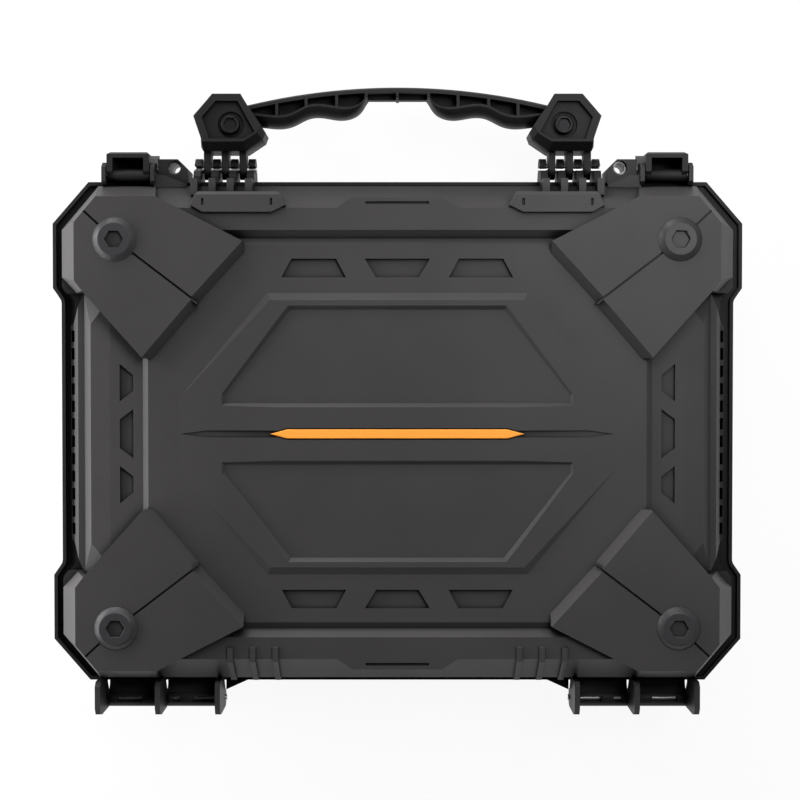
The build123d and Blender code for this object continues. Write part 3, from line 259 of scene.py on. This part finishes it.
MATERIALS = {name: moulded(name, *look) for name, look in PLASTICS.items()}
MATERIALS["steel"] = metal("steel", (0.65, 0.65, 0.66), 0.3)
# The padlock sleeves get a darker copy of the steel: painted shade standing in for the shade
# inside their holes
SHADED_SLEEVE_STEEL = metal("shaded_sleeve_steel", (0.13, 0.13, 0.135), 0.38)
MATERIALS["dark_steel"] = metal("dark_steel", (0.02, 0.02, 0.021), 0.45)
MATERIALS["foam"] = open_cell_foam("foam", (0.045, 0.045, 0.048))

slot_of = {entry["node"]: entry["material_slot"] for entry in frame["record"]["subparts"]}
for name, node in nodes.items():
    node.data.materials.clear()
    sleeve = name.endswith("padlock_sleeves")
    node.data.materials.append(SHADED_SLEEVE_STEEL if sleeve else MATERIALS[slot_of[name]])

# ---------------------------------------------------------------- soft edges on the moulded pieces

# Bevel width of the pieces whose names start so
EDGE_MM = {
    "lid_shell": 0.45,
    "corner_guard": 0.6,
    "corner_bolt": 0.4,
    "handle_hood": 0.5,
    "base_shell": 0.6,
    "handle_grip": 1.2,
    "handle_pod": 0.8,
    "pod_bolt": 0.3,
    "latch_lever": 0.5,
    "accent_strip": 0.2,
}


WELD_MM = 0.005
FLAT_WITHIN_DEG = 0.6
EDGE_FROM_DEG = 25.0
EDGE_SEGMENTS = 2


def soften(node, width_mm):
    """Rounds the hard edges of a moulded piece and shades its flats flat."""
    weld = node.modifiers.new("weld", "WELD")
    weld.merge_threshold = WELD_MM * MM
    flats = node.modifiers.new("flats", "DECIMATE")
    flats.decimate_type = "DISSOLVE"
    flats.angle_limit = math.radians(FLAT_WITHIN_DEG)
    edge = node.modifiers.new("edge", "BEVEL")
    edge.width = width_mm * MM
    edge.segments = EDGE_SEGMENTS
    edge.limit_method = "ANGLE"
    edge.angle_limit = math.radians(EDGE_FROM_DEG)
    edge.harden_normals = True
    edge.miter_outer = "MITER_ARC"


for name, node in nodes.items():
    for stem, width in EDGE_MM.items():
        if name.startswith(stem):
            soften(node, width)

# ---------------------------------------------------------------- foam liners

FOAM_VOXEL_MM = 3.0
FOAM_ROUNDING_PASSES = 3
FOAM_ROUNDING_FACTOR = 0.5
FOAM_UNEVEN_MM = 0.5
FOAM_UNEVEN_SPAN_MM = 18.0

# Egg-crate face: the peaks' pitch and depth, the flat margin's fade, and the faces that take it
CONVOLUTION_PITCH_MM = 34.0
CONVOLUTION_DEPTH_MM = 9.0
CONVOLUTION_FADE_MM = 22.0
CONVOLUTION_FLAT_SHARE = 0.4
FACING_DOWN = -0.7


def foam_copy(name, source):
    """The space of a foam node as a closed, even mesh with rounded edges."""
    mesh = source.data.copy()
    liner = bpy.data.objects.new(name, mesh)
    liner.matrix_world = source.matrix_world.copy()
    bpy.context.scene.collection.objects.link(liner)
    even = liner.modifiers.new("even", "REMESH")
    even.mode = "VOXEL"
    even.voxel_size = FOAM_VOXEL_MM * MM
    rounding = liner.modifiers.new("rounding", "SMOOTH")
    rounding.factor = FOAM_ROUNDING_FACTOR
    rounding.iterations = FOAM_ROUNDING_PASSES
    bpy.context.view_layer.update()
    shown = liner.evaluated_get(bpy.context.evaluated_depsgraph_get())
    liner.data = bpy.data.meshes.new_from_object(shown)
    liner.modifiers.clear()
    liner.data.polygons.foreach_set("use_smooth", [True] * len(liner.data.polygons))
    liner.data.materials.clear()
    liner.data.materials.append(MATERIALS["foam"])
    return liner


def uneven(place, normal, _box):
    """Sinks the skin a little, differently from place to place, as cut foam does."""
    depth = FOAM_UNEVEN_MM * (0.5 + 0.5 * noise.noise(place / (FOAM_UNEVEN_SPAN_MM * MM)))
    return place - normal * depth * MM


def convoluted(place, normal, box):
    """Turns the lower face into rows of rounded peaks whose tips stay where the flat face was."""
    place = uneven(place, normal, box)
    if normal.z < FACING_DOWN:
        low, high = box
        turn = 2 * math.pi / (CONVOLUTION_PITCH_MM * MM)
        margin = min(place.x - low[0], high[0] - place.x, place.y - low[1], high[1] - place.y)
        share = margin / (CONVOLUTION_FADE_MM * MM) - CONVOLUTION_FLAT_SHARE
        share = min(max(share, 0.0), 1.0)
        wave = 0.5 - 0.5 * math.cos(turn * place.x) * math.cos(turn * place.y)
        place.z += share * wave * CONVOLUTION_DEPTH_MM * MM
    return place


def foam_liner(node_name, name, body, shape):
    """Replaces a plain foam node by a detailed liner that rides on the same body."""
    liner = foam_copy(name, nodes[node_name])
    skin = [(vertex.co.copy(), vertex.normal.copy()) for vertex in liner.data.vertices]
    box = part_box(node_name)
    moved = [shape(place, normal, box) for place, normal in skin]
    liner.data.vertices.foreach_set("co", [value for place in moved for value in place])
    liner.data.update()
    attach(liner, body)
    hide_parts(node_name)


foam_liner("base_foam", "laptop_cradle", "base", uneven)
foam_liner("lid_foam", "convoluted_pad", "lid", convoluted)

# ---------------------------------------------------------------- floor and lights

FLOOR_SIZE = 26.0
WALL_RADIUS = 12.0
WALL_HEIGHT = 4.0
WALL_SIDES = 96

# Where it is seen, the backdrop glows white, but for a lit share that takes the shadow
WHITE = 1.0
SHADOW_SHARE = 0.07
SHADOW_PALE = (0.85, 0.85, 0.85, 1)

# What it throws back onto the object
BOUNCE = (0.2, 0.2, 0.2, 1)

WORLD_COLOUR = (1, 1, 1, 1)
WORLD_LEVEL = 0.03


def seen_directly(tree):
    """1 for the rays that show the background: in view, in reflections and through glass."""
    path = tree.nodes.new("ShaderNodeLightPath")
    seen = path.outputs["Is Camera Ray"]
    for ray in ("Is Glossy Ray", "Is Transmission Ray"):
        either = tree.nodes.new("ShaderNodeMath")
        either.operation = "MAXIMUM"
        tree.links.new(seen, either.inputs[0])
        tree.links.new(path.outputs[ray], either.inputs[1])
        seen = either.outputs["Value"]
    return seen


def mixed(tree, share, first, second):
    mix = tree.nodes.new("ShaderNodeMixShader")
    if isinstance(share, float):
        mix.inputs["Fac"].default_value = share
    else:
        tree.links.new(share, mix.inputs["Fac"])
    tree.links.new(first, mix.inputs[1])
    tree.links.new(second, mix.inputs[2])
    return mix.outputs["Shader"]


def diffuse(tree, colour):
    node = tree.nodes.new("ShaderNodeBsdfDiffuse")
    node.inputs["Color"].default_value = colour
    return node.outputs["BSDF"]


def backdrop():
    """Floor and wall: white where seen, with the object's shadow, and dull as a bounce."""
    material = bpy.data.materials.new("backdrop")
    material.use_nodes = True
    tree = material.node_tree
    tree.nodes.remove(tree.nodes["Principled BSDF"])
    glow = tree.nodes.new("ShaderNodeEmission")
    glow.inputs["Strength"].default_value = WHITE
    white = mixed(tree, SHADOW_SHARE, glow.outputs["Emission"], diffuse(tree, SHADOW_PALE))
    shown = mixed(tree, seen_directly(tree), diffuse(tree, BOUNCE), white)
    tree.links.new(shown, tree.nodes["Material Output"].inputs["Surface"])
    bpy.ops.mesh.primitive_plane_add(size=FLOOR_SIZE, location=(0, 0, 0))
    floor = bpy.context.object
    floor.name = "floor"
    bpy.ops.mesh.primitive_cylinder_add(
        vertices=WALL_SIDES,
        radius=WALL_RADIUS,
        depth=WALL_HEIGHT,
        end_fill_type="NOTHING",
        location=(0, 0, WALL_HEIGHT / 2),
    )
    wall = bpy.context.object
    wall.name = "backdrop"
    for stage_part in (floor, wall):
        stage_part.data.materials.append(material)


def world_light():
    world = bpy.data.worlds.new("world")
    world.use_nodes = True
    fill = world.node_tree.nodes["Background"]
    fill.inputs["Color"].default_value = WORLD_COLOUR
    fill.inputs["Strength"].default_value = WORLD_LEVEL
    bpy.context.scene.world = world


# name, place, aimed at, width, height (metres), watts
LIGHT_PANELS = [
    ("key_side", (1.64, -0.6, 0.435), (0, 0, 0.06), 0.7, 0.6, 14.0),
    ("key_front", (0.65, -1.62, 0.435), (0, 0, 0.06), 0.7, 0.6, 15.0),
    ("front", (0, -1.53, 0.95), (0, 0, 0.06), 1.1, 0.6, 5.0),
    ("front_low", (0, -1.75, 0.435), (0, 0, 0.06), 0.7, 0.6, 2.5),
    ("overhead", (-0.36, -0.3, 0.9), (-0.1, -0.08, 0.06), 0.4, 0.4, 5.8),
    ("overhead_front", (0, -0.65, 0.8), (0, -0.1, 0.06), 0.4, 0.4, 3.0),
    ("side_strip", (0.36, 0, 0.10), (0.2, 0, 0.07), 0.45, 0.16, 1.6),
    ("rear_strip", (0, 1.3, 0.045), (0, 0, 0.045), 2.0, 0.08, 4.5),
]


def softbox(name, place, target, width, height, watts):
    """An area lamp turned to its target, itself out of view."""
    data = bpy.data.lights.new(name, "AREA")
    data.shape = "RECTANGLE"
    data.size = width
    data.size_y = height
    data.energy = watts
    light = bpy.data.objects.new(name, data)
    light.location = place
    aim = Vector(target) - Vector(place)
    light.rotation_euler = aim.to_track_quat("-Z", "Y").to_euler()
    light.visible_camera = False
    bpy.context.scene.collection.objects.link(light)


backdrop()
for panel in LIGHT_PANELS:
    softbox(*panel)
world_light()

scene = bpy.context.scene
scene.view_settings.view_transform = "Standard"

# ---------------------------------------------------------------- update

bpy.context.view_layer.update()
